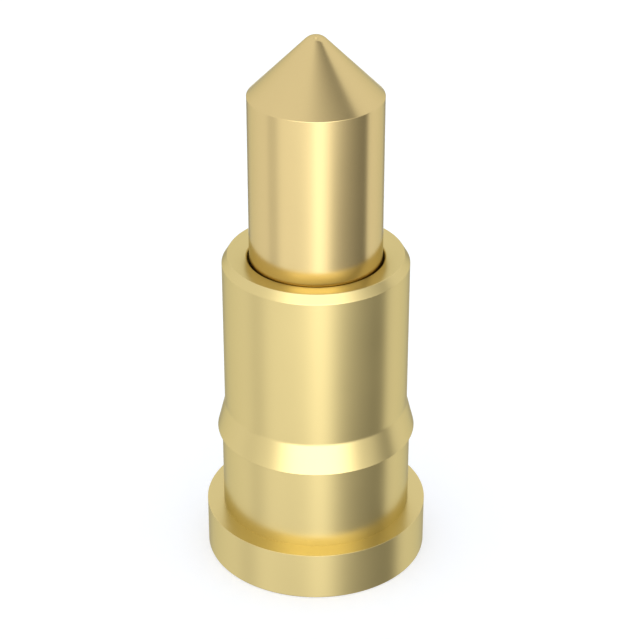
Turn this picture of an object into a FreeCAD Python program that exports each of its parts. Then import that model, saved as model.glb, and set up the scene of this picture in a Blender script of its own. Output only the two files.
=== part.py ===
import FreeCAD, Part
import math
import os
import re

import Sketcher

# A spring-loaded contact pin: a turned barrel with a solder flange, a barb ring and a rolled lip,
# a pointed plunger that slides in it, and the compression spring behind the plunger.
#
# Everything is round about the Z axis. The origin is the middle of the flange's underside, and
# +Z runs up the pin to its tip. All lengths are millimetres.

os.makedirs("parts", exist_ok=True)
doc = FreeCAD.newDocument("SpringContact")
sheet = doc.addObject("Spreadsheet::Sheet", "Sizes")

# name, value, what it is. Diameters are over the metal, heights are along Z.
SIZES = [
    # The barrel's outside.
    ("flange_diameter", 1.829, "solder flange"),
    ("flange_thickness", 0.413, "solder flange"),
    ("lower_diameter", 1.551, "locating length between flange and barb"),
    ("lower_length", 0.709, "locating length, flange to barb edge"),
    ("barb_reach", 0.062, "barb ring's sharp edge over the barrel above it, radial"),
    ("barb_length", 0.243, "lead-in cone above the barb edge"),
    ("upper_diameter", 1.500, "barrel above the barb"),
    ("barrel_length", 2.698, "flange underside to the crown of the lip"),
    ("crown_inset", 0.044, "rolled lip's highest ring inside the barrel's wall, radial"),
    ("crown_rise", 0.070, "height of the rolled shoulder outside the crown"),
    ("lip_slope", 8.2, "degrees that the lip's face dips towards the plunger"),
    ("lip_thickness", 0.116, "lip, measured along Z at its opening"),
    # The barrel's bore.
    ("barrel_bore", 1.240, "blind bore that the collar runs in"),
    ("floor_thickness", 0.300, "metal under the blind bore"),
    ("root_radius", 0.030, "bore wall to lip, inside"),
    # The plunger.
    ("shaft_diameter", 1.064, "plunger outside the barrel"),
    ("point_angle", 90.0, "degrees across the pointed end"),
    ("tip_radius", 0.118, "ball on the end of the point"),
    ("tip_projection", 1.824, "tip above the lip's crown, spring extended"),
    ("full_stroke", 1.140, "travel that the collar leaves before the floor"),
    ("spring_bore", 0.800, "blind bore in the plunger's tail"),
    ("solid_nose", 0.530, "solid shaft between the spring bore and the cone"),
    # The spring.
    ("wire_diameter", 0.100, "spring wire"),
    ("active_turns", 12, "turns that work"),
    ("closed_turns", 1, "closed turns at each end"),
    ("ramp_turns", 0.5, "turns over which the pitch opens out, at each end"),
    # Fits and edges.
    ("lip_clearance", 0.012, "shaft to lip opening, radial"),
    ("collar_clearance", 0.020, "collar to barrel bore, radial"),
    ("spring_clearance", 0.030, "spring to plunger bore, radial"),
    ("floor_clearance", 0.060, "tail to floor at full stroke"),
    ("seat_gap", 0.010, "film between faces that the spring presses together"),
    ("coil_gap", 0.004, "between neighbouring closed turns"),
    ("collar_chamfer", 0.025, "both edges of the collar"),
    ("edge_break", 0.008, "turned outside edges of the flange"),
    ("crown_radius", 0.014, "rolled edge of the lip's crown"),
    ("mouth_chamfer", 0.010, "edge of the lip around the shaft"),
]

for row, (name, number, meaning) in enumerate(SIZES, start=1):
    sheet.set(f"A{row}", name)
    sheet.set(f"B{row}", str(number))
    sheet.set(f"C{row}", meaning)
    sheet.setAlias(f"B{row}", name)
doc.recompute()

# Places that more than one piece shares, worked out from the sizes.
BARB_EDGE = "(flange_thickness + lower_length)"
BARB_TOP = f"({BARB_EDGE} + barb_length)"
OPENING_RADIUS = "(shaft_diameter / 2 + lip_clearance)"
BORE_RADIUS = "(barrel_bore / 2)"
BARB_RADIUS = "(upper_diameter / 2 + barb_reach)"
CROWN_RADIUS = "(upper_diameter / 2 - crown_inset)"
RIM_TOP = f"(barrel_length - ({CROWN_RADIUS} - {OPENING_RADIUS}) * tan(lip_slope * 1deg))"
LIP_UNDERSIDE = f"({RIM_TOP} - lip_thickness)"
COLLAR_TOP = f"({LIP_UNDERSIDE} - seat_gap)"
TAIL = "(floor_thickness + floor_clearance + full_stroke)"
TIP = "(barrel_length + tip_projection)"
HALF_POINT = "(point_angle / 2 * 1deg)"
BALL_CENTRE = f"({TIP} - tip_radius)"
BALL_EDGE_RADIUS = f"(tip_radius * cos({HALF_POINT}))"
BALL_EDGE = f"({BALL_CENTRE} + tip_radius * sin({HALF_POINT}))"
CONE_BASE = f"({BALL_EDGE} - (shaft_diameter / 2 - {BALL_EDGE_RADIUS}) / tan({HALF_POINT}))"
SPRING_BORE_END = f"({CONE_BASE} - solid_nose)"

# How finely the spring's curves are laid out.
POINTS_PER_TURN = 15
POINTS_ROUND_WIRE = 17

# How close two lengths are when they are the same, and two volumes of the same wire.
SAME_LENGTH = 1e-6
SAME_VOLUME = 0.02

# Sketcher's numbers for a curve's own points, and for the sketch's origin and axes.
START, END, CENTRE = 1, 2, 3
ORIGIN, ACROSS, UPWARD = -1, -1, -2


def in_sheet(formula):
    """The formula with each size's name turned into a reference to the sheet."""
    return re.sub(r"[a-z]+(?:_[a-z]+)+", lambda found: "Sizes." + found.group(0), formula)


def value(formula):
    """What a formula of sizes comes to now."""
    return float(sheet.evalExpression(in_sheet(formula)))


def new_body(label):
    body = doc.addObject("PartDesign::Body", label)
    body.Label = label
    return body


def half_section(body, name, corners, ball=None):
    """A closed sketch in the XZ plane, to the right of the Z axis, for turning about it.

    corners holds (corner name, radius, height) in order round the outline. Each corner is tied
    to its two formulas, so the sketch follows the sheet. A ball is (first corner's number, radius):
    the side from that corner to the next, which lies on the axis, is an arc centred on the axis.
    """
    sketch = body.newObject("Sketcher::SketchObject", name)
    plane = [item for item in body.Origin.OriginFeatures if item.Role == "XZ_Plane"][0]
    sketch.AttachmentSupport = [(plane, "")]
    sketch.MapMode = "FlatFace"

    places = [FreeCAD.Vector(value(radius), value(height), 0) for _, radius, height in corners]
    count = len(corners)
    for number in range(count):
        start, end = places[number], places[(number + 1) % count]
        if ball and number == ball[0]:
            centre = FreeCAD.Vector(0, end.y - value(ball[1]), 0)
            from_angle = math.atan2(start.y - centre.y, start.x)
            circle = Part.Circle(centre, FreeCAD.Vector(0, 0, 1), value(ball[1]))
            sketch.addGeometry(Part.ArcOfCircle(circle, from_angle, math.pi / 2), False)
        else:
            sketch.addGeometry(Part.LineSegment(start, end), False)

    def hold(kind, *parts):
        return sketch.addConstraint(Sketcher.Constraint(kind, *parts))

    for number in range(count):
        hold("Coincident", number, END, (number + 1) % count, START)

    for number, (corner, radius, height) in enumerate(corners):
        for kind, axis, measure, formula in (
            ("DistanceX", UPWARD, "radius", radius),
            ("DistanceY", ACROSS, "height", height),
        ):
            if formula == "0":
                hold("PointOnObject", number, START, axis)
                continue
            tie = f"{corner}_{measure}"
            index = hold(kind, ORIGIN, START, number, START, value(formula))
            sketch.renameConstraint(index, tie)
            sketch.setExpression(f"Constraints.{tie}", in_sheet(formula))
    if ball:
        hold("PointOnObject", ball[0], CENTRE, UPWARD)
    doc.recompute()
    return sketch


def turn(body, kind, name, sketch):
    """A full revolution (adds) or groove (cuts) of a half section about the pin's axis."""
    feature = body.newObject(kind, name)
    feature.Profile = sketch
    feature.ReferenceAxis = (sketch, ["V_Axis"])
    feature.Angle = 360
    doc.recompute()
    return feature


def rims(feature, *places):
    """The names of the feature's circular edges of the given (radius, height) formulas."""
    wanted = [(value(radius), value(height)) for radius, height in places]
    names = []
    for number, edge in enumerate(feature.Shape.Edges, start=1):
        if edge.Degenerated or not isinstance(edge.Curve, Part.Circle):
            continue
        radius, height = edge.Curve.Radius, edge.Curve.Center.z
        if any(math.dist((radius, height), place) < SAME_LENGTH for place in wanted):
            names.append(f"Edge{number}")
    if len(names) != len(places):
        raise RuntimeError(f"{feature.Name}: {len(names)} rims found, {len(places)} wanted")
    return names


def dress(body, kind, name, base, size_property, size_name, places):
    """A fillet or chamfer of one named size on circular edges of the base feature."""
    feature = body.newObject(kind, name)
    feature.Base = (base, rims(base, *places))
    feature.setExpression(size_property, in_sheet(size_name))
    doc.recompute()
    return feature


def make_barrel():
    """Turned brass cup: flange, locating length, barb ring, upper barrel and rolled lip."""
    body = new_body("barrel")
    outline = half_section(body, "barrel_outline", [
        ("underside_middle", "0", "0"),
        ("flange_foot", "flange_diameter / 2", "0"),
        ("flange_head", "flange_diameter / 2", "flange_thickness"),
        ("lower_foot", "lower_diameter / 2", "flange_thickness"),
        ("lower_head", "lower_diameter / 2", BARB_EDGE),
        ("barb_edge", BARB_RADIUS, BARB_EDGE),
        ("upper_foot", "upper_diameter / 2", BARB_TOP),
        ("upper_head", "upper_diameter / 2", "barrel_length - crown_rise"),
        ("crown", CROWN_RADIUS, "barrel_length"),
        ("blank_middle", "0", f"barrel_length - {CROWN_RADIUS} * tan(lip_slope * 1deg)"),
    ])
    turned = turn(body, "PartDesign::Revolution", "turned_outside", outline)

    bore = half_section(body, "bore_outline", [
        ("floor_middle", "0", "floor_thickness"),
        ("floor_corner", BORE_RADIUS, "floor_thickness"),
        ("lip_root", BORE_RADIUS, LIP_UNDERSIDE),
        ("lip_rim", OPENING_RADIUS, LIP_UNDERSIDE),
        ("mouth", OPENING_RADIUS, "barrel_length + crown_rise"),
        ("mouth_middle", "0", "barrel_length + crown_rise"),
    ])
    bored = turn(body, "PartDesign::Groove", "bored_inside", bore)
    if bored.Shape.Volume >= turned.Shape.Volume:
        raise RuntimeError("the barrel's bore cuts nothing")

    rolled = dress(body, "PartDesign::Fillet", "rolled_crown", bored, "Radius", "crown_radius", [
        (CROWN_RADIUS, "barrel_length"),
    ])
    rooted = dress(body, "PartDesign::Fillet", "lip_root", rolled, "Radius", "root_radius", [
        (BORE_RADIUS, LIP_UNDERSIDE),
    ])
    opened = dress(body, "PartDesign::Chamfer", "lip_mouth", rooted, "Size", "mouth_chamfer", [
        (OPENING_RADIUS, RIM_TOP),
    ])
    dress(body, "PartDesign::Chamfer", "broken_edges", opened, "Size", "edge_break", [
        ("flange_diameter / 2", "0"),
        ("flange_diameter / 2", "flange_thickness"),
    ])
    return body


def make_plunger():
    """Turned brass piston: point, shaft, retaining collar and the bore for the spring."""
    body = new_body("plunger")
    collar_radius = f"({BORE_RADIUS} - collar_clearance)"
    corners = [
        ("tip", "0", TIP),
        ("tail_middle", "0", TAIL),
        ("tail_edge", collar_radius, TAIL),
        ("collar_edge", collar_radius, COLLAR_TOP),
        ("shaft_foot", "shaft_diameter / 2", COLLAR_TOP),
        ("shoulder", "shaft_diameter / 2", CONE_BASE),
        ("ball_edge", BALL_EDGE_RADIUS, BALL_EDGE),
    ]
    last = len(corners) - 1
    outline = half_section(body, "plunger_outline", corners, ball=(last, "tip_radius"))
    turned = turn(body, "PartDesign::Revolution", "turned_outside", outline)

    bore = half_section(body, "spring_bore_outline", [
        ("mouth_middle", "0", f"{TAIL} - floor_clearance"),
        ("mouth", "spring_bore / 2", f"{TAIL} - floor_clearance"),
        ("seat_edge", "spring_bore / 2", SPRING_BORE_END),
        ("seat_middle", "0", SPRING_BORE_END),
    ])
    bored = turn(body, "PartDesign::Groove", "bored_tail", bore)
    if bored.Shape.Volume >= turned.Shape.Volume:
        raise RuntimeError("the plunger's bore cuts nothing")

    dress(body, "PartDesign::Chamfer", "collar_edges", bored, "Size", "collar_chamfer", [
        (collar_radius, TAIL),
        (collar_radius, COLLAR_TOP),
    ])
    return body


def coil_height(turns, closed, ramp, active, closed_pitch, open_pitch):
    """How far the wire has climbed after so many turns.

    It climbs at the closed pitch, opens out evenly over the ramp, and closes the same way at
    the other end, so the second half is the first half upside down.
    """
    middle = closed + active / 2
    if turns > middle:
        whole = 2 * coil_height(middle, closed, ramp, active, closed_pitch, open_pitch)
        rest = coil_height(2 * middle - turns, closed, ramp, active, closed_pitch, open_pitch)
        return whole - rest
    climbed = min(turns, closed) * closed_pitch
    ramped = min(max(turns - closed, 0), ramp)
    if ramped > 0:
        climbed += ramped * closed_pitch + ramped**2 / (2 * ramp) * (open_pitch - closed_pitch)
    return climbed + max(turns - closed - ramp, 0) * open_pitch


def make_spring():
    """Compression spring with closed ends, wound from one length of round wire."""
    wire_radius = value("wire_diameter") / 2
    coil_radius = value("spring_bore / 2 - spring_clearance") - wire_radius
    closed, ramp, active = (value(name) for name in ("closed_turns", "ramp_turns", "active_turns"))
    start = value("floor_thickness + seat_gap") + wire_radius
    end = value(f"{SPRING_BORE_END} - seat_gap") - wire_radius

    closed_pitch = value("wire_diameter + coil_gap")
    climb = end - start - (2 * closed + ramp) * closed_pitch
    open_pitch = climb / (active - ramp)

    all_turns = 2 * closed + active
    steps = round(all_turns * POINTS_PER_TURN)
    points = []
    for step in range(steps + 1):
        turns = all_turns * step / steps
        angle = 2 * math.pi * turns
        height = start + coil_height(turns, closed, ramp, active, closed_pitch, open_pitch)
        across, along = coil_radius * math.cos(angle), coil_radius * math.sin(angle)
        points.append(FreeCAD.Vector(across, along, height))
    centreline = Part.BSplineCurve()
    centreline.interpolate(points)

    # The round section stands upright across the wire's end. It is a closed curve through points
    # of the circle, which leaves the long sweep one smooth wall.
    round_points = []
    for step in range(POINTS_ROUND_WIRE):
        angle = 2 * math.pi * step / POINTS_ROUND_WIRE
        across, up = wire_radius * math.cos(angle), wire_radius * math.sin(angle)
        round_points.append(points[0] + FreeCAD.Vector(across, 0, up))
    wire_section = Part.BSplineCurve()
    wire_section.interpolate(round_points, PeriodicFlag=True)

    sweep = Part.BRepOffsetAPI.MakePipeShell(Part.Wire([centreline.toShape()]))
    sweep.setBiNormalMode(FreeCAD.Vector(0, 0, 1))
    sweep.add(Part.Wire([wire_section.toShape()]))
    sweep.build()
    sweep.makeSolid()

    spring = doc.addObject("Part::Feature", "spring")
    spring.Label = "spring"
    spring.Shape = sweep.shape()
    length = all_turns * 2 * math.pi * coil_radius
    expected = math.pi * wire_radius**2 * length
    if abs(spring.Shape.Volume / expected - 1) > SAME_VOLUME:
        raise RuntimeError("the spring's volume isn't its wire's")
    print(f"spring: pitch {open_pitch:.3f}, outside diameter {2 * (coil_radius + wire_radius):.3f}")
    return spring


pieces = [make_barrel(), make_plunger(), make_spring()]
for piece in pieces:
    piece.Placement = FreeCAD.Placement()
doc.recompute()

for item in doc.Objects:
    if {"Invalid", "Error"} & set(item.State):
        raise RuntimeError(f"{item.Name} failed: {item.State}")
for piece in pieces:
    if piece.Shape.isNull() or not piece.Shape.isValid() or len(piece.Shape.Solids) != 1:
        raise RuntimeError(f"{piece.Label} isn't one valid solid")

for piece in pieces:
    piece.Shape.exportStep(f"parts/{piece.Label}.step")
    box = piece.Shape.BoundBox
    print(f"{piece.Label}: {piece.Shape.Volume:.4f} mm3, z {box.ZMin:.3f} to {box.ZMax:.3f}")
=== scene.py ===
# %% [markdown]
# # A gold plated spring contact
#
# The object is a spring-loaded contact pin, 4.5 mm tall. A lathe turned its two outer pieces from
# brass: a barrel with a solder flange, a barb ring and a rolled lip, and a pointed plunger that
# slides down into the barrel. A coil spring behind the plunger pushes it out again. All three are
# plated with gold.
#
# The CAD model already holds every piece at its real size, but its round walls are made of flat
# facets. A polished metal wall shows each facet as a stripe, so here each piece is turned again,
# finely, to the same sizes, and the new piece takes the place of the CAD one.
#
# First the CAD model is loaded. Its box, from lowest to highest corner, is kept as it is now,
# because the finished model has to fill the same box.

# %% Load the CAD frame
import math

import bmesh
import bpy
import mathutils
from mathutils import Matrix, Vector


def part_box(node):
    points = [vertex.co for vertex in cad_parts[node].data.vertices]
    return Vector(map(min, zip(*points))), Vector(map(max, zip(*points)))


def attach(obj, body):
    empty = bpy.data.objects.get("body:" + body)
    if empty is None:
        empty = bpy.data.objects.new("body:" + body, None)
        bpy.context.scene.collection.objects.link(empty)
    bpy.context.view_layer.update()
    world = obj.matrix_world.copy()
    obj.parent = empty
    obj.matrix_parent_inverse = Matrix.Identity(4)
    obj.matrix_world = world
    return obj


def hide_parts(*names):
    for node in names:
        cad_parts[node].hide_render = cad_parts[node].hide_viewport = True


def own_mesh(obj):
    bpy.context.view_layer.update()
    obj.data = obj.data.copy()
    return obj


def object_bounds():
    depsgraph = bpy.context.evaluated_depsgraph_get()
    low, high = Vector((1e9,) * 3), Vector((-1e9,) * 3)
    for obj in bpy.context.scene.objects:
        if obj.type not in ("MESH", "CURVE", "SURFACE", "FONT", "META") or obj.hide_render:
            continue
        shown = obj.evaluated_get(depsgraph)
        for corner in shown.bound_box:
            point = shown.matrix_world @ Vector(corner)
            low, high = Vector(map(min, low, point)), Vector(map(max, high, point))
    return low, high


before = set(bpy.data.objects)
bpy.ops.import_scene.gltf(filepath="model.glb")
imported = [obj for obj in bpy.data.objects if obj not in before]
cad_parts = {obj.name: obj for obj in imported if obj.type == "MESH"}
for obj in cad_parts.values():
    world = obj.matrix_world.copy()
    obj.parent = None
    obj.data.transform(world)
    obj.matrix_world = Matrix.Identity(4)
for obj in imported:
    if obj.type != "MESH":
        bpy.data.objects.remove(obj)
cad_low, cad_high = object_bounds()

print("CAD nodes:", sorted(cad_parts))
print("CAD box in mm:", [round(1000 * side, 3) for side in cad_high - cad_low])

# %% [markdown]
# ## Sizes
#
# Blender counts in metres, and a wall of this pin is a tenth of a millimetre. Bevels and merges
# compare lengths with fixed small numbers, which would be too coarse at that scale. So every
# piece is modelled in millimetres, with numbers near 1, and shrunk to metres at its end.
#
# The largest sizes are read from the boxes of the CAD nodes. The rest are the sizes between them,
# which a box can't show.

# %% Read the overall sizes from the frame
MM = 0.001


def node_reach(node):
    """The radius, the foot and the head of a CAD node, in millimetres."""
    low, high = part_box(node)
    return high.x / MM, low.z / MM, high.z / MM


flange_radius, barrel_foot, barrel_head = node_reach("barrel")
collar_radius, plunger_tail, plunger_tip = node_reach("plunger")
spring_radius, spring_foot, spring_head = node_reach("spring")
print(f"flange radius {flange_radius:.4f}, barrel {barrel_foot:.3f} to {barrel_head:.3f}")
print(f"collar radius {collar_radius:.4f}, plunger {plunger_tail:.3f} to {plunger_tip:.3f}")
print(f"spring radius {spring_radius:.4f}, from {spring_foot:.3f} to {spring_head:.3f}")

# %% [markdown]
# ## How a turned piece is made
#
# On a lathe the metal spins and a tool cuts one outline into it. Blender's Spin does the same
# thing the other way round: the outline travels round the axis and leaves a surface behind it. It
# is the natural way to make any turned piece. A stack of cylinders would leave inner walls where
# they join, and a Screw modifier would keep the rims out of reach of a bevel.
#
# An outline starts as a few corners in the XZ plane, each with a radius and a height. A round
# stretch of it is made by spinning one vertex about the centre of the round. Both ends of the
# outline lie on the axis, so the spun surface closes on itself. Spin copies the two ends at each
# step, and merging those copies leaves one clean pole.

# %% Draw an outline and spin it
STEPS_ROUND = 256
SAME_PLACE = 1e-4


def add_outline(shell, corners, start=None):
    """Adds corners of (radius, height) to the mesh, joined in order, after a start vertex."""
    previous = start
    for radius, height in corners:
        corner = shell.verts.new((radius, 0, height))
        if previous:
            shell.edges.new((previous, corner))
        previous = corner
    return previous


def add_arc(shell, corner, centre_radius, centre_height, turn, steps):
    """Carries the outline on from a corner along an arc, and gives the vertex at its end."""
    arc = bmesh.ops.spin(shell, geom=[corner], cent=(centre_radius, 0, centre_height),
                         axis=(0, 1, 0), dvec=(0, 0, 0), angle=turn, steps=steps,
                         use_merge=False, use_normal_flip=False, use_duplicate=False)
    return [item for item in arc["geom_last"] if isinstance(item, bmesh.types.BMVert)][0]


def spin_round(shell):
    """Turns the whole outline about the Z axis into one closed surface that faces outwards."""
    bmesh.ops.spin(shell, geom=shell.verts[:] + shell.edges[:], cent=(0, 0, 0), axis=(0, 0, 1),
                   dvec=(0, 0, 0), angle=math.tau, steps=STEPS_ROUND, use_merge=True,
                   use_normal_flip=False, use_duplicate=False)
    bmesh.ops.remove_doubles(shell, verts=shell.verts[:], dist=SAME_PLACE)
    bmesh.ops.recalc_face_normals(shell, faces=shell.faces[:])


print(f"a wall is spun in {STEPS_ROUND} steps of {360 / STEPS_ROUND:.2f} degrees")

# %% [markdown]
# ## Rims
#
# No real rim is a perfect corner. A turned rim is broken with a small chamfer or rolled round, and
# that narrow band catches a line of light, which is what makes metal look like metal. Bevel cuts
# the band along a ring of edges that is picked by its radius and height: one segment gives a
# chamfer, and several give a round.
#
# Smooth shading blends the light across every edge. Beside a narrow band it would bend the
# reflection far into the broad wall next to it. The borders of a band are therefore marked sharp,
# so that a wall stays straight and only the band itself is blended.

# %% Pick a rim and bevel it
ROUND_SEGMENTS = 5
CHAMFER_SEGMENTS = 1


def rim_edges(shell, radius, height):
    """The ring of edges at that radius and height."""
    def on_rim(vertex):
        away = math.hypot(vertex.co.x, vertex.co.y) - radius
        return abs(away) < SAME_PLACE and abs(vertex.co.z - height) < SAME_PLACE
    return [edge for edge in shell.edges if all(on_rim(vertex) for vertex in edge.verts)]


def dress_rim(shell, radius, height, size, segments):
    """Cuts a band of that size along one rim."""
    band = bmesh.ops.bevel(shell, geom=rim_edges(shell, radius, height), offset=size,
                           offset_type="OFFSET", segments=segments, profile=0.5,
                           affect="EDGES", material=-1)
    faces = set(band["faces"])
    for edge in {edge for face in faces for edge in face.edges}:
        if not faces.issuperset(edge.link_faces):
            edge.smooth = False
    print(f"rim at radius {radius:.3f}, height {height:.3f}: a band of {len(faces)} faces")


print(f"a chamfer has {CHAMFER_SEGMENTS} segment, a round has {ROUND_SEGMENTS}")

# %% [markdown]
# ## From a bmesh to a piece
#
# When the shape is done it is shrunk to metres, and the corners that stay sharp are marked. The
# object stays at the origin with no turn and no scale of its own, as the CAD nodes do: its place
# is in its mesh. It then replaces its CAD node and moves with that node's body.

# %% Make the piece that stands for a CAD node
SHARP_CORNER = math.radians(20)


def make_piece(name, shell, node, body):
    """Turns a mesh in millimetres into a piece that replaces its CAD node."""
    bmesh.ops.scale(shell, vec=(MM, MM, MM), verts=shell.verts[:])
    for face in shell.faces:
        face.smooth = True
    for edge in shell.edges:
        if edge.calc_face_angle(0) > SHARP_CORNER:
            edge.smooth = False
    mesh = bpy.data.meshes.new(name)
    shell.to_mesh(mesh)
    shell.free()
    piece = bpy.data.objects.new(name, mesh)
    bpy.context.scene.collection.objects.link(piece)
    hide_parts(node)
    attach(piece, body)
    print(f"{name}: {len(mesh.polygons)} faces")
    return piece


print(f"corners of more than {math.degrees(SHARP_CORNER):.0f} degrees stay sharp")

# %% [markdown]
# ## The barrel
#
# The barrel is a cup. Solder holds its flange on the board, the barb ring bites into the hole that
# it is pushed through, and the lip is rolled in over the plunger's collar, so that the plunger
# can't come out.
#
# All its sizes are set before anything is turned, so that each has one place where it can be
# changed. Some follow from others. The lip slopes down towards the plunger, for example, so the
# height of its opening comes from the slope.

# %% Set the barrel's sizes
flange_head = 0.413
lower_radius = 0.7755
barb_edge = 1.122
barb_radius = 0.812
barb_top = 1.365
upper_radius = 0.750
shoulder_rise = 0.070
crown_radius = 0.706
lip_slope = math.radians(8.2)
lip_thickness = 0.116
opening_radius = 0.544
bore_radius = 0.620
floor_height = 0.300

shoulder = barrel_head - shoulder_rise
opening_head = barrel_head - (crown_radius - opening_radius) * math.tan(lip_slope)
opening_foot = opening_head - lip_thickness
print(f"shoulder at {shoulder:.3f}, lip from {opening_foot:.3f} to {opening_head:.3f}")

# %% [markdown]
# The outline runs up the outside, over the lip, down the opening and the bore, and ends in the
# middle of the cup's floor. One spin then makes the inside and the outside together.
#
# Rolling leaves the lip's face bent, flat near the crown and steeper near the plunger. The bend is
# only six thousandths of a millimetre deep, but a straight face would mirror one height of the
# room, and a bent one sweeps over thirty degrees of it. So the face is an arc: the crown's vertex
# is spun about a centre far below it, by the angle of the bend.

# %% Turn the barrel
LIP_BEND = math.radians(16)
LIP_STEPS = 8

lip_length = (crown_radius - opening_radius) / math.cos(lip_slope)
lip_arc_radius = lip_length / (2 * math.sin(LIP_BEND / 2))
crown_slope = lip_slope - LIP_BEND / 2

barrel = bmesh.new()
crown = add_outline(barrel, [
    (0, barrel_foot),
    (flange_radius, barrel_foot),
    (flange_radius, flange_head),
    (lower_radius, flange_head),
    (lower_radius, barb_edge),
    (barb_radius, barb_edge),
    (upper_radius, barb_top),
    (upper_radius, shoulder),
    (crown_radius, barrel_head),
])
lip_end = add_arc(barrel, crown, crown_radius + lip_arc_radius * math.sin(crown_slope),
                  barrel_head - lip_arc_radius * math.cos(crown_slope), -LIP_BEND, LIP_STEPS)
print(f"the lip's face ends at radius {lip_end.co.x:.3f}, height {lip_end.co.z:.3f}")
add_outline(barrel, [
    (opening_radius, opening_foot),
    (bore_radius, opening_foot),
    (bore_radius, floor_height),
    (0, floor_height),
], start=lip_end)
spin_round(barrel)
print("barrel rings:", len(barrel.faces) // STEPS_ROUND)

# %% [markdown]
# The outer corners of the barrel are only broken, by a few thousandths of a millimetre, while the
# rolled edge of the opening and the corner under the lip are properly round. Each line below is
# one rim: its radius, its height and the size of its band. The inner corners at the foot of the
# walls are left as the tool cut them.

# %% Dress the barrel's rims
for radius, height, size in (
    (flange_radius, barrel_foot, 0.006),
    (flange_radius, flange_head, 0.002),
    (barb_radius, barb_edge, 0.004),
    (upper_radius, barb_top, 0.010),
    (upper_radius, shoulder, 0.003),
    (crown_radius, barrel_head, 0.003),
    (opening_radius, opening_head, 0.016),
    (bore_radius, opening_foot, 0.030),
):
    dress_rim(barrel, radius, height, size, ROUND_SEGMENTS)
barrel_piece = make_piece("barrel_turned", barrel, "barrel", "barrel")

# %% [markdown]
# ## The plunger
#
# The plunger is a piston. Its point ends in a small ball, which touches the contact pad. Its
# collar is wider than the lip's opening and stops it there, and the spring sits in a bore in its
# tail. A gap of a hundredth of a millimetre keeps the pieces from touching where they meet.
#
# The ball runs smoothly into the cone. The height where it ends, and the height where the cone
# meets the shaft, are worked out from the ball's radius and the angle of the point.

# %% Set the plunger's sizes
seat_gap = 0.010
shaft_radius = 0.532
ball_radius = 0.118
half_point = math.radians(45)
collar_head = opening_foot - seat_gap
spring_bore_radius = 0.400
spring_bore_head = spring_head + seat_gap

ball_centre = plunger_tip - ball_radius
ball_edge = ball_centre + ball_radius * math.sin(half_point)
cone_foot = ball_edge - (shaft_radius - ball_radius * math.cos(half_point)) / math.tan(half_point)
print(f"ball ends at {ball_edge:.3f}, cone ends at {cone_foot:.3f}")

# %% [markdown]
# The ball has to be truly round, so its part of the outline is an arc too. One vertex at the tip
# is spun about the ball's centre by half the point's angle, and the rest of the outline goes on
# from where it ends: down the cone and the shaft, round the collar, and up into the spring's bore.

# %% Turn the plunger
BALL_STEPS = 10

plunger = bmesh.new()
tip = plunger.verts.new((0, 0, plunger_tip))
ball_end = add_arc(plunger, tip, 0, ball_centre, half_point, BALL_STEPS)
add_outline(plunger, [
    (shaft_radius, cone_foot),
    (shaft_radius, collar_head),
    (collar_radius, collar_head),
    (collar_radius, plunger_tail),
    (spring_bore_radius, plunger_tail),
    (spring_bore_radius, spring_bore_head),
    (0, spring_bore_head),
], start=ball_end)
spin_round(plunger)
print("plunger rings:", len(plunger.faces) // STEPS_ROUND)

# %% [markdown]
# The collar has plain chamfers, which guide it into the barrel. The corner between the cone and
# the shaft is turned almost sharp, and the mouth of the spring's bore is round, so that it doesn't
# scrape the wire.

# %% Dress the plunger's rims
for radius, height, size, segments in (
    (shaft_radius, cone_foot, 0.002, ROUND_SEGMENTS),
    (collar_radius, collar_head, 0.025, CHAMFER_SEGMENTS),
    (collar_radius, plunger_tail, 0.025, CHAMFER_SEGMENTS),
    (spring_bore_radius, plunger_tail, 0.010, ROUND_SEGMENTS),
):
    dress_rim(plunger, radius, height, size, segments)
plunger_piece = make_piece("plunger_turned", plunger, "plunger", "plunger")

# %% [markdown]
# ## The spring
#
# The spring is one length of round wire. Its first and last turns lie closed, so that its ends
# stand flat, and the pitch opens out over half a turn next to them. A Screw modifier keeps one
# pitch throughout and can't do that.
#
# So the pitch is worked out first, for any place along the wire. What it is in the open turns
# follows from the height that the closed ones leave over.

# %% Work out how the wire climbs
wire_radius = 0.050
active_turns = 12
closed_turns = 1
ramp_turns = 0.5
closed_gap = 0.004

closed_pitch = 2 * wire_radius + closed_gap
all_turns = active_turns + 2 * closed_turns
climb = spring_head - spring_foot - 2 * wire_radius
open_pitch = closed_pitch + (climb - all_turns * closed_pitch) / (active_turns - ramp_turns)
print(f"{all_turns} turns, open pitch {open_pitch:.3f} mm")


def pitch_at(turn):
    """The wire's climb per turn, so many turns from its lower end."""
    from_end = min(turn, all_turns - turn)
    opened = min(max((from_end - closed_turns) / ramp_turns, 0), 1)
    return closed_pitch + opened * (open_pitch - closed_pitch)


# %% [markdown]
# A circle of the wire's size is stood upright beside the axis. It is spun one small step at a
# time, and each step also lifts it by as much as the wire climbs there. Spin hands back the
# section that it made last, and the next step starts from that one. At the end the two cut faces
# of the wire are filled.

# %% Wind the spring
WIRE_SIDES = 16
STEPS_PER_TURN = 32

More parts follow.
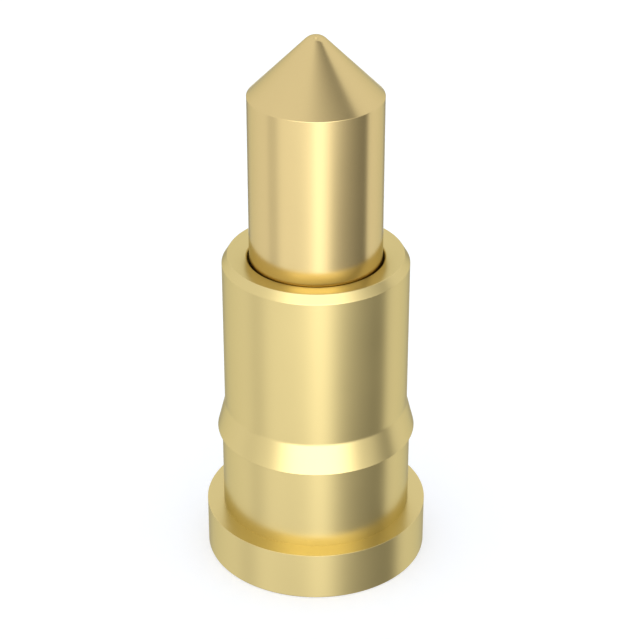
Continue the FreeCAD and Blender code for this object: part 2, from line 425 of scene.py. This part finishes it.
spring = bmesh.new()
bmesh.ops.create_circle(spring, cap_ends=False, segments=WIRE_SIDES, radius=wire_radius)
bmesh.ops.rotate(spring, cent=(0, 0, 0), verts=spring.verts[:],
                 matrix=mathutils.Matrix.Rotation(math.pi / 2, 3, "X"))
bmesh.ops.translate(spring, verts=spring.verts[:],
                    vec=(spring_radius - wire_radius, 0, spring_foot + wire_radius))
section = spring.verts[:] + spring.edges[:]
for step in range(all_turns * STEPS_PER_TURN):
    lift = pitch_at((step + 0.5) / STEPS_PER_TURN) / STEPS_PER_TURN
    spun = bmesh.ops.spin(spring, geom=section, cent=(0, 0, 0), axis=(0, 0, 1),
                          dvec=(0, 0, lift), angle=math.tau / STEPS_PER_TURN, steps=1,
                          use_merge=False, use_normal_flip=False, use_duplicate=False)
    section = spun["geom_last"]
bmesh.ops.holes_fill(spring, edges=spring.edges[:], sides=WIRE_SIDES)
bmesh.ops.recalc_face_normals(spring, faces=spring.faces[:])
spring_piece = make_piece("spring_wound", spring, "spring", "barrel")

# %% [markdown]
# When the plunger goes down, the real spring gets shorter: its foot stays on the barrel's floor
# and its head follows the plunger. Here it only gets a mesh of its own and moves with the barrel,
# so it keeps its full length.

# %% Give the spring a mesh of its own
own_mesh(spring_piece)

# %% [markdown]
# ## A short way to wire nodes
#
# The finishes, the paper and the studio are all node trees. Written out in full, one node takes
# several lines of Python, and the idea behind the tree gets lost. This helper adds a node and
# fills its inputs in one line, with a number, a colour or another node's output.
#
# An input goes by its name in Blender, with _ for a blank. The inputs of a Math or Mix node share
# their names, so they go by their number, such as _0 for the first.

# %% Make a helper for node trees
class Nodes:
    """Adds nodes to one node tree and joins them."""

    def __init__(self, tree):
        self.tree = tree
        tree.nodes.clear()

    def add(self, kind, settings=None, **inputs):
        """A node with its settings, whose inputs are numbers, colours or other nodes' outputs."""
        node = self.tree.nodes.new(kind)
        for name, value in (settings or {}).items():
            setattr(node, name, value)
        for name, value in inputs.items():
            number = name[1:]
            socket = node.inputs[int(number) if number.isdigit() else name.replace("_", " ")]
            if isinstance(value, bpy.types.NodeSocket):
                self.tree.links.new(value, socket)
            else:
                socket.default_value = value
        return node

    def math(self, operation, first, second=0.0, clamp=False):
        """The result of one Math node on two numbers or outputs."""
        settings = {"operation": operation, "use_clamp": clamp}
        return self.add("ShaderNodeMath", settings, _0=first, _1=second).outputs[0]

    def times(self, first, *others):
        """The product of some numbers or outputs."""
        for other in others:
            first = self.math("MULTIPLY", first, other)
        return first

    def less(self, value):
        """1 less that number or output."""
        return self.math("SUBTRACT", 1.0, value)

    def rise(self, value, start, end):
        """0 before start, 1 after end, and a soft step between them."""
        settings = {"interpolation_type": "SMOOTHSTEP"}
        return self.add("ShaderNodeMapRange", settings, Value=value, From_Min=start,
                        From_Max=end).outputs["Result"]

    def fall(self, value, start, end):
        """1 before start, 0 after end, and a soft step between them."""
        return self.less(self.rise(value, start, end))


print("Nodes can", ", ".join(name for name in vars(Nodes) if not name.startswith("_")))

# %% [markdown]
# ## Gold plating
#
# Gold plate is a metal all through: no colour comes from under its surface, and everything that
# it shows is a reflection tinted by the gold. So Metallic is 1, and the base colour is the tint.
# At a grazing angle a metal first gets a little darker and then turns almost white, which is what
# Specular Tint sets.
#
# Two things keep the surface from looking like plastic film. The plating is a little uneven, so a
# soft noise moves the tint and the roughness by a few percent, in patches of about 0.4 mm. And the
# lathe's tool leaves fine rings, about 0.02 mm apart, that plating softens but never hides. They
# follow height on the walls and radius on the flat faces. Object coordinates are in metres, which
# is why the two noises have such large scales and the rings such a small depth.

# %% Build a plating
PATCH_SCALE = 2600.0
RING_SCALE = 55000.0
TINT_CHANGE = 0.015
ROUGHNESS_CHANGE = 0.08


def plating(name, tint, edge_tint, roughness, ring_depth):
    """A plated and turned surface, with its tint at a right angle and near its edges."""
    material = bpy.data.materials.new(name)
    material.use_nodes = True
    nodes = Nodes(material.node_tree)
    place = nodes.add("ShaderNodeTexCoord").outputs["Object"]

    uneven = nodes.add("ShaderNodeTexNoise", Vector=place, Scale=PATCH_SCALE, Detail=3.0,
                       Roughness=0.5).outputs["Fac"]
    low = [channel * (1 - TINT_CHANGE) for channel in tint] + [1]
    high = [channel * (1 + TINT_CHANGE) for channel in tint] + [1]
    colour = nodes.add("ShaderNodeMix", {"data_type": "RGBA"}, _0=uneven, _6=low, _7=high)
    rough = nodes.add("ShaderNodeMapRange", Value=uneven,
                      To_Min=roughness * (1 - ROUGHNESS_CHANGE),
                      To_Max=roughness * (1 + ROUGHNESS_CHANGE))

    spot = nodes.add("ShaderNodeSeparateXYZ", Vector=place)
    radius = nodes.math("SQRT", nodes.math("ADD", nodes.math("POWER", spot.outputs["X"], 2.0),
                                           nodes.math("POWER", spot.outputs["Y"], 2.0)))
    along = nodes.math("ADD", spot.outputs["Z"], radius)
    feed = nodes.add("ShaderNodeTexNoise", {"noise_dimensions": "1D"}, W=along,
                     Scale=RING_SCALE, Detail=2.0).outputs["Fac"]
    rings = nodes.add("ShaderNodeBump", Strength=1.0, Distance=ring_depth, Height=feed)

    surface = nodes.add("ShaderNodeBsdfPrincipled", Metallic=1.0,
                        Base_Color=colour.outputs[2], Roughness=rough.outputs["Result"],
                        Normal=rings.outputs["Normal"])
    surface.inputs["Specular Tint"].default_value = (*edge_tint, 1)
    output = nodes.add("ShaderNodeOutputMaterial")
    nodes.tree.links.new(surface.outputs[0], output.inputs["Surface"])
    return material


print(f"patches of {1 / PATCH_SCALE / MM:.2f} mm, rings {1 / RING_SCALE / MM:.3f} mm apart")

# %% [markdown]
# The three pieces are plated apart, so their golds differ by a hair. They also differ in polish:
# the barrel is left as the lathe made it, while the plunger slides and the spring is drawn wire,
# so these two are smoother and mirror more sharply. Their rings are shallower for the same reason.

# %% Plate the three pieces
EDGE_TINT = (0.665, 0.665, 0.557)

for piece, name, tint, roughness, ring_depth in (
    (barrel_piece, "barrel gold", (0.690, 0.565, 0.256), 0.30, 4e-8),
    (plunger_piece, "plunger gold", (0.693, 0.541, 0.256), 0.22, 2e-8),
    (spring_piece, "spring wire gold", (0.670, 0.530, 0.245), 0.22, 1e-8),
):
    piece.data.materials.append(plating(name, tint, EDGE_TINT, roughness, ring_depth))
    print(piece.name, "is plated with", name)

# %% [markdown]
# ## The floor
#
# The pin stands on plain white paper, a wide disc. Part of the paper's white is a glow of its own.
# Light Path shows it to the camera, to mirrors and through glass, but it never falls on the pin as
# light. The rest is light that the paper gets from all round, so that the pin still leaves a faint
# soft shadow beside it. Gold throws warm light on the paper there. The glow is cool, which takes
# that warmth out again and leaves the shadow grey.
#
# Two switches keep the paper off this pin. Its reflections don't see the paper, because a small
# pin on a wide sheet would mirror little else, and the room is what gives the metal its shape. And
# the paper blocks no light, so what comes from below the horizon still reaches the metal.

# %% Lay the floor
FLOOR_RADIUS = 0.4
FLOOR_SIDES = 96
FLOOR_GAP = 2e-6
PAPER_GLOW = (0.212, 0.241, 0.368, 1)
PAPER_COLOUR = (0.845, 0.85, 0.78, 1)

sheet = bmesh.new()
bmesh.ops.create_circle(sheet, cap_ends=True, segments=FLOOR_SIDES, radius=FLOOR_RADIUS)
bmesh.ops.translate(sheet, verts=sheet.verts[:], vec=(0, 0, cad_low.z - FLOOR_GAP))
floor_mesh = bpy.data.meshes.new("paper_floor")
sheet.to_mesh(floor_mesh)
sheet.free()
paper_floor = bpy.data.objects.new("paper_floor", floor_mesh)
bpy.context.scene.collection.objects.link(paper_floor)
paper_floor.visible_glossy = False
paper_floor.visible_shadow = False

paper = bpy.data.materials.new("white paper")
paper.use_nodes = True
nodes = Nodes(paper.node_tree)
rays = nodes.add("ShaderNodeLightPath").outputs
seen = nodes.math("ADD", nodes.math("ADD", rays["Is Camera Ray"], rays["Is Glossy Ray"]),
                  rays["Is Transmission Ray"], clamp=True)
glow = nodes.add("ShaderNodeEmission", Color=PAPER_GLOW, Strength=seen)
lit = nodes.add("ShaderNodeBsdfDiffuse", Color=PAPER_COLOUR)
both = nodes.add("ShaderNodeAddShader")
output = nodes.add("ShaderNodeOutputMaterial")
nodes.tree.links.new(glow.outputs[0], both.inputs[0])
nodes.tree.links.new(lit.outputs[0], both.inputs[1])
nodes.tree.links.new(both.outputs[0], output.inputs["Surface"])
floor_mesh.materials.append(paper)
print("floor at z =", round(cad_low.z - FLOOR_GAP, 7))

# %% [markdown]
# ## The studio
#
# Polished metal has no look of its own: it shows the room. A few area lamps would do for a matt
# object, but on a round mirror each of them is one hard stripe. So the room is painted on the
# world, by direction, where every edge can be as soft as it needs to be.
#
# Only the metal's reflections see this painted room. For every other ray the world is plain white
# at a strength of 1, which keeps the background white and the light on the paper even. The walls
# of the room are white too, at the same strength, so the gold renders as its tint is written. What
# gives the pin its shape is hung on those walls: soft lights, and dark cards beside them.
#
# A direction has an azimuth, which is 0 towards the camera and grows to the right, and an
# elevation, which is 0 at the horizon. A third angle says how far it looks to either side of the
# plane through the pin and the camera. All are in degrees.

# %% Find the direction that a ray looks in
world = bpy.data.worlds.new("studio")
bpy.context.scene.world = world
world.use_nodes = True
studio = Nodes(world.node_tree)
looks = studio.add("ShaderNodeSeparateXYZ",
                   Vector=studio.add("ShaderNodeTexCoord").outputs["Generated"]).outputs
ahead = studio.times(looks["Y"], -1.0)
azimuth = studio.math("DEGREES", studio.math("ARCTAN2", looks["X"], ahead))
elevation = studio.math("DEGREES", studio.math("ARCSINE", looks["Z"]))
aside = studio.math("DEGREES", studio.math("ARCSINE", studio.math("ABSOLUTE", looks["X"])))
print("azimuth, elevation and the angle to either side are in degrees")

# %% [markdown]
# ### The softbox
#
# A broad softbox stands in front of the pin and puts the bright tone on the barb, on the shoulder
# and in the lip. Its upper part is dimmed, and its top edge is bright again, which draws the
# bright line round the foot of the plunger.
#
# An upright wall seen from above mirrors what lies below the horizon. There the softbox gives a
# rounder glow, which makes the bright stripe that runs down every wall. Its middle lies a little
# to the right, and so does the stripe.
#
# Each pair of numbers says where a soft edge starts and where it ends, in degrees. Only IN_FRONT
# isn't an angle: it is how far a direction points towards the camera, and it keeps the softbox
# from showing behind the pin as well.

# %% Hang the softbox in front, with its glow below it
SOFTBOX_LIGHT = 2.10
IN_FRONT = (0.0, 0.2)
SOFTBOX_SIDES = (22.0, 54.0)
SOFTBOX_FOOT = (-16.0, -10.0)
SOFTBOX_HEAD = (43.5, 46.0)
DIMMED_PART = (8.0, 36.0)
DIMMED_BY = 0.58
TOP_EDGE = (37.0, 40.0)
TOP_EDGE_LIGHT = 0.55
GLOW_LIGHT = 1.10
GLOW_AZIMUTH = 6.0
GLOW_SPREAD = 17.7
GLOW_FOOT = (-54.0, -23.0)
GLOW_HEAD = (-8.0, 4.0)


def bell(angle, middle, spread):
    """1 at the middle, and softly less to both sides of it."""
    off_middle = studio.math("DIVIDE", studio.math("SUBTRACT", angle, middle), spread)
    return studio.math("POWER", math.e, studio.times(off_middle, off_middle, -1.0))


dimmer = studio.less(studio.times(studio.rise(elevation, *DIMMED_PART), DIMMED_BY))
top_edge = studio.times(studio.rise(elevation, *TOP_EDGE), TOP_EDGE_LIGHT)
softbox = studio.times(studio.rise(ahead, *IN_FRONT), studio.fall(aside, *SOFTBOX_SIDES),
                       studio.rise(elevation, *SOFTBOX_FOOT), studio.fall(elevation, *SOFTBOX_HEAD),
                       studio.math("ADD", dimmer, top_edge))
glow = studio.times(bell(azimuth, GLOW_AZIMUTH, GLOW_SPREAD), studio.rise(elevation, *GLOW_FOOT),
                    studio.fall(elevation, *GLOW_HEAD))
front_light = studio.math("MAXIMUM", studio.times(softbox, SOFTBOX_LIGHT),
                          studio.times(glow, GLOW_LIGHT))
print(f"softbox from {SOFTBOX_FOOT[0]} to {SOFTBOX_HEAD[1]} degrees, light {SOFTBOX_LIGHT}")

# %% [markdown]
# ### The left wall
#
# Without anything on the left, that side of the pin would be one even tone. Low on the left the
# wall is a little brighter, and a soft dark seam stands at its end, so that the tone rises and
# falls as it goes round.

# %% Paint the lower left wall
LEFT_LIGHT = 0.16
LEFT_START = (-70.0, -58.0)
LEFT_END = (-20.0, -9.0)
LEFT_HEAD = (-20.0, -5.0)
SEAM_DARKNESS = 0.2
SEAM_START = (-89.0, -84.0)
SEAM_END = (-74.0, -62.0)
SEAM_HEAD = (-20.0, 2.0)

left_wall = studio.times(studio.rise(azimuth, *LEFT_START), studio.fall(azimuth, *LEFT_END),
                         studio.fall(elevation, *LEFT_HEAD), LEFT_LIGHT)
seam = studio.times(studio.rise(azimuth, *SEAM_START), studio.fall(azimuth, *SEAM_END),
                    studio.fall(elevation, *SEAM_HEAD), SEAM_DARKNESS)
print(f"left wall {LEFT_LIGHT} brighter, its seam {SEAM_DARKNESS} darker")

# %% [markdown]
# ### The dark card
#
# A dark card on the right gives each round wall its shadow side, and without it the pin would look
# flat. The card gets darker from its front edge to its end, beside the pin, and stops there at
# once. That is why the shadow on a wall starts softly and ends in a crisp line.
#
# The card is narrowest a little above the horizon. It widens upwards, which makes the long wedge
# of shadow on the cone, and downwards too, for the walls. Higher up, its tone changes more evenly
# across it, and its end leans forwards. Where the side of the shoulder mirrors it, it is paler.

# %% Stand the dark card on the right
CARD_DARKNESS = 0.81
CARD_WAIST = 18.6
CARD_REACH = 48.0
CARD_START = 81.7
CARD_END = 89.4
CARD_EDGE = (91.4, 99.0)
WIDER_ABOVE = 118.0
WIDER_BELOW = 75.0
FLARE_BELOW = 2.9
EDGE_LEAN = 9.0
SOFTNESS_BELOW = 0.44
SOFTNESS_GAIN = 0.76
SOFTNESS_CHANGE = (0.0, 60.0)
PALER_AT = 10.0
PALER_SPREAD = 25.0
PALER_BY = 0.13

from_waist = studio.math("DIVIDE", studio.math("SUBTRACT", elevation, CARD_WAIST), CARD_REACH)
above = studio.math("MAXIMUM", from_waist, 0.0)
below = studio.math("MAXIMUM", studio.times(from_waist, -1.0), 0.0)
wider_above = studio.times(above, WIDER_ABOVE)
wider_below = studio.times(studio.math("POWER", below, FLARE_BELOW), WIDER_BELOW)
card_start = studio.math("SUBTRACT", studio.math("SUBTRACT", CARD_START, wider_above), wider_below)
across = studio.math("DIVIDE", studio.math("SUBTRACT", azimuth, card_start),
                     studio.math("SUBTRACT", CARD_END, card_start), clamp=True)
softness = studio.math("ADD", SOFTNESS_BELOW,
                       studio.times(studio.rise(elevation, *SOFTNESS_CHANGE), SOFTNESS_GAIN))
leaning = studio.math("ADD", azimuth, studio.times(above, EDGE_LEAN))
paler = studio.times(bell(elevation, PALER_AT, PALER_SPREAD), PALER_BY)
card = studio.times(studio.math("POWER", across, softness), studio.fall(leaning, *CARD_EDGE),
                    studio.less(paler), CARD_DARKNESS)
print(f"the card takes away up to {CARD_DARKNESS} of the light, up to azimuth {CARD_END}")

# %% [markdown]
# ### Behind the pin
#
# The pin is looked at from all sides, and from behind it needs a room of its own. A narrow bright
# panel hangs there between two grey cards. It has a low part for the walls and a high part for the
# cone. Between the two the wall stays plain, because that is what the flat faces of the flange and
# the lip show to the camera, and they have to be even.

# %% Hang a panel behind, between two grey cards
BACK_LIGHT = 0.9
BACK_DARKNESS = 0.5
PANEL_SIDE = (4.0, 14.0)
GREY_START = (10.0, 18.0)
GREY_END = (22.0, 34.0)
LOW_HEAD = (-12.0, 0.0)
HIGH_FOOT = (54.0, 62.0)
HIGH_HEAD = (72.0, 84.0)
HIGH_SHARE = 0.6

from_back = studio.math("SUBTRACT", 180.0, studio.math("ABSOLUTE", azimuth))
high_part = studio.times(studio.rise(elevation, *HIGH_FOOT), studio.fall(elevation, *HIGH_HEAD),
                         HIGH_SHARE)
both_parts = studio.math("ADD", studio.fall(elevation, *LOW_HEAD), high_part)
back_light = studio.times(studio.fall(from_back, *PANEL_SIDE), both_parts, BACK_LIGHT)
grey_cards = studio.times(studio.rise(from_back, *GREY_START), studio.fall(from_back, *GREY_END),
                          both_parts, BACK_DARKNESS)
print(f"back panel {2 * PANEL_SIDE[0]} to {2 * PANEL_SIDE[1]} degrees wide, light {BACK_LIGHT}")

# %% [markdown]
# ### The whole room
#
# As in a real room, the cards hide some of the white walls, and the lights come on top. A mix
# between plain white and this room, set by Is Glossy Ray, then makes the world.

# %% Paint the room
walls = studio.math("SUBTRACT", studio.math("ADD", 1.0, left_wall), seam)
lights = studio.math("ADD", front_light, back_light)
room = studio.math("ADD", studio.times(walls, studio.less(card), studio.less(grey_cards)), lights)
rays = studio.add("ShaderNodeLightPath").outputs
strength = studio.add("ShaderNodeMix", {"data_type": "FLOAT"}, _0=rays["Is Glossy Ray"],
                      _2=1.0, _3=room)
surround = studio.add("ShaderNodeBackground", Color=(1, 1, 1, 1), Strength=strength.outputs[0])
output = studio.add("ShaderNodeOutputWorld")
studio.tree.links.new(surround.outputs[0], output.inputs["Surface"])
print("the studio has", len(studio.tree.nodes), "nodes")

# %% [markdown]
# ## The camera
#
# The pin is seen from 29 degrees above, with a long lens, so its walls stay almost parallel. The
# camera looks at a point on the axis just below the middle, and a slight shift of the lens lets
# the pin stand a little to the left.
#
# The camera is only 16 mm away, so the near clipping distance has to come down with it. The view
# transform is Standard, which shows a colour as it is written.

# %% Place the camera
CAMERA_ELEVATION = math.radians(28.79)
DISTANCE_IN_HEIGHTS = 3.537
TARGET_IN_HEIGHTS = 0.4615
LENS = 111.42
SENSOR_WIDTH = 36
LENS_SHIFT = 0.0064
NEAREST = 0.001
FARTHEST = 2

height = cad_high.z - cad_low.z
target_height = cad_low.z + TARGET_IN_HEIGHTS * height
camera_distance = DISTANCE_IN_HEIGHTS * height

camera_data = bpy.data.cameras.new("camera")
camera_data.lens = LENS
camera_data.sensor_width = SENSOR_WIDTH
camera_data.shift_x = LENS_SHIFT
camera_data.clip_start = NEAREST
camera_data.clip_end = FARTHEST
camera = bpy.data.objects.new("camera", camera_data)
bpy.context.scene.collection.objects.link(camera)
camera.location = (0, -camera_distance * math.cos(CAMERA_ELEVATION),
                   target_height + camera_distance * math.sin(CAMERA_ELEVATION))
camera.rotation_euler = (math.pi / 2 - CAMERA_ELEVATION, 0, 0)
bpy.context.scene.camera = camera
bpy.context.scene.view_settings.view_transform = "Standard"
print("camera at", [round(1000 * along, 2) for along in camera.location], "mm")

# %% [markdown]
# ## The size
#
# The dressed model has to fill the CAD model's box.
